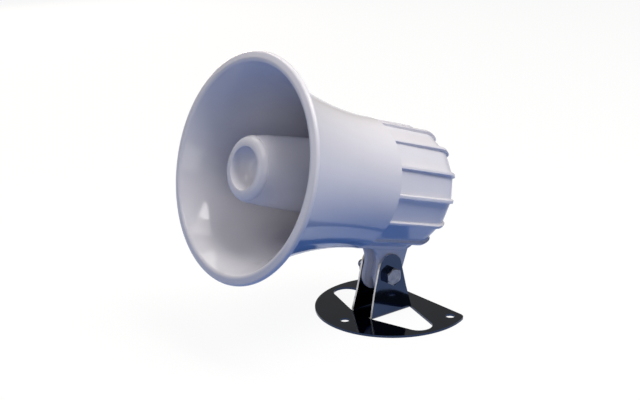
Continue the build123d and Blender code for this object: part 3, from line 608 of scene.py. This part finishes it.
mixColour = {"first": 6, "second": 7, "result": 2}      # a Mix node's colour sockets, which share their names


def makeFloor():
    # White to the camera, weaker in mirrors, and a matt blue to the light that it throws back
    mesh = bmesh.new()
    bmesh.ops.create_grid(mesh, x_segments=4, y_segments=4, size=studio["floorSize"] / 2)
    data = bpy.data.meshes.new("studioFloor")
    mesh.to_mesh(data)
    mesh.free()
    floor = bpy.data.objects.new("studioFloor", data)
    bpy.context.scene.collection.objects.link(floor)
    material = bpy.data.materials.new("studioPaper")
    material.use_nodes = True
    material.node_tree.nodes.clear()
    rays = addNode(material, "LightPath").outputs
    mirrored = addNode(material, "Math", {1: studio["mirrored"]}, {0: rays["Is Glossy Ray"]},
                       operation="MULTIPLY").outputs["Value"]
    seen = rays["Is Camera Ray"]
    for ray in (mirrored, rays["Is Transmission Ray"]):
        seen = addNode(material, "Math", links={0: seen, 1: ray}, operation="MAXIMUM").outputs["Value"]
    colour = addNode(material, "Mix", {mixColour["first"]: linear(studio["floorBounce"]),
                                       mixColour["second"]: linear(studio["floorShown"])},
                     {"Factor": seen}, data_type="RGBA").outputs[mixColour["result"]]
    matt = addNode(material, "BsdfDiffuse", links={"Color": colour})
    glow = addNode(material, "Emission", {"Color": linear(studio["floorShown"])})
    share = addNode(material, "Math", {1: studio["glow"]}, {0: seen}, operation="MULTIPLY")
    mixed = addNode(material, "MixShader", links={0: share.outputs["Value"], 1: matt.outputs["BSDF"],
                                                  2: glow.outputs["Emission"]})
    addNode(material, "OutputMaterial", links={"Surface": mixed.outputs["Shader"]})
    data.materials.append(material)


def makeLamps():
    for name, lamp in studio["lamps"].items():
        light = bpy.data.lights.new(name, "AREA")
        light.shape = "RECTANGLE"
        light.size, light.size_y = lamp["size"]
        light.energy = lamp["power"]
        light.color = linear(lamp["colour"])[:3]
        holder = bpy.data.objects.new(name, light)
        holder.location = lamp["place"]
        aim = Vector(studio["aim"]) - holder.location
        holder.rotation_euler = aim.to_track_quat("-Z", "Y").to_euler()
        bpy.context.scene.collection.objects.link(holder)


def makeWorld():
    # The camera sees a white room, gloss shows a toned one, and only a little air lights the object
    world = bpy.data.worlds.new("studioAir")
    bpy.context.scene.world = world
    world.use_nodes = True
    rays = addNode(world, "LightPath").outputs
    seen = rays["Is Camera Ray"]
    for ray in (rays["Is Glossy Ray"], rays["Is Transmission Ray"]):
        seen = addNode(world, "Math", links={0: seen, 1: ray}, operation="MAXIMUM").outputs["Value"]
    shown = addNode(world, "Mix", {mixColour["first"]: linear(studio["worldMirrored"]),
                                   mixColour["second"]: linear(studio["floorShown"])},
                    {"Factor": rays["Is Camera Ray"]}, data_type="RGBA").outputs[mixColour["result"]]
    air = addNode(world, "Background",
                  {"Color": linear(studio["world"]), "Strength": studio["worldStrength"]})
    backdrop = addNode(world, "Background", links={"Color": shown})
    mixed = addNode(world, "MixShader", links={0: seen, 1: air.outputs["Background"],
                                               2: backdrop.outputs["Background"]})
    surface = world.node_tree.nodes["World Output"].inputs["Surface"]
    world.node_tree.links.new(mixed.outputs["Shader"], surface)


def makeCamera():
    turn, rise, roll = (radians(cameraSetting[key]) for key in ("azimuth", "elevation", "roll"))
    toCamera = Vector((sin(turn) * cos(rise), -cos(turn) * cos(rise), sin(rise)))
    level = (-toCamera).cross(Vector((0, 0, 1))).normalized()
    upright = level.cross(-toCamera)
    right = level * cos(roll) + upright * sin(roll)
    up = upright * cos(roll) - level * sin(roll)
    data = bpy.data.cameras.new("photoCamera")
    data.lens = cameraSetting["lens"]
    data.clip_start, data.clip_end = cameraSetting["clip"]
    camera = bpy.data.objects.new("photoCamera", data)
    camera.matrix_world = (Matrix.Translation(cameraSetting["place"])
                           @ Matrix((right, up, toCamera)).transposed().to_4x4())
    bpy.context.scene.collection.objects.link(camera)
    bpy.context.scene.camera = camera


makeFloor()
makeLamps()
makeWorld()
makeCamera()
bpy.context.scene.view_settings.view_transform = "Standard"
print("studio ready")
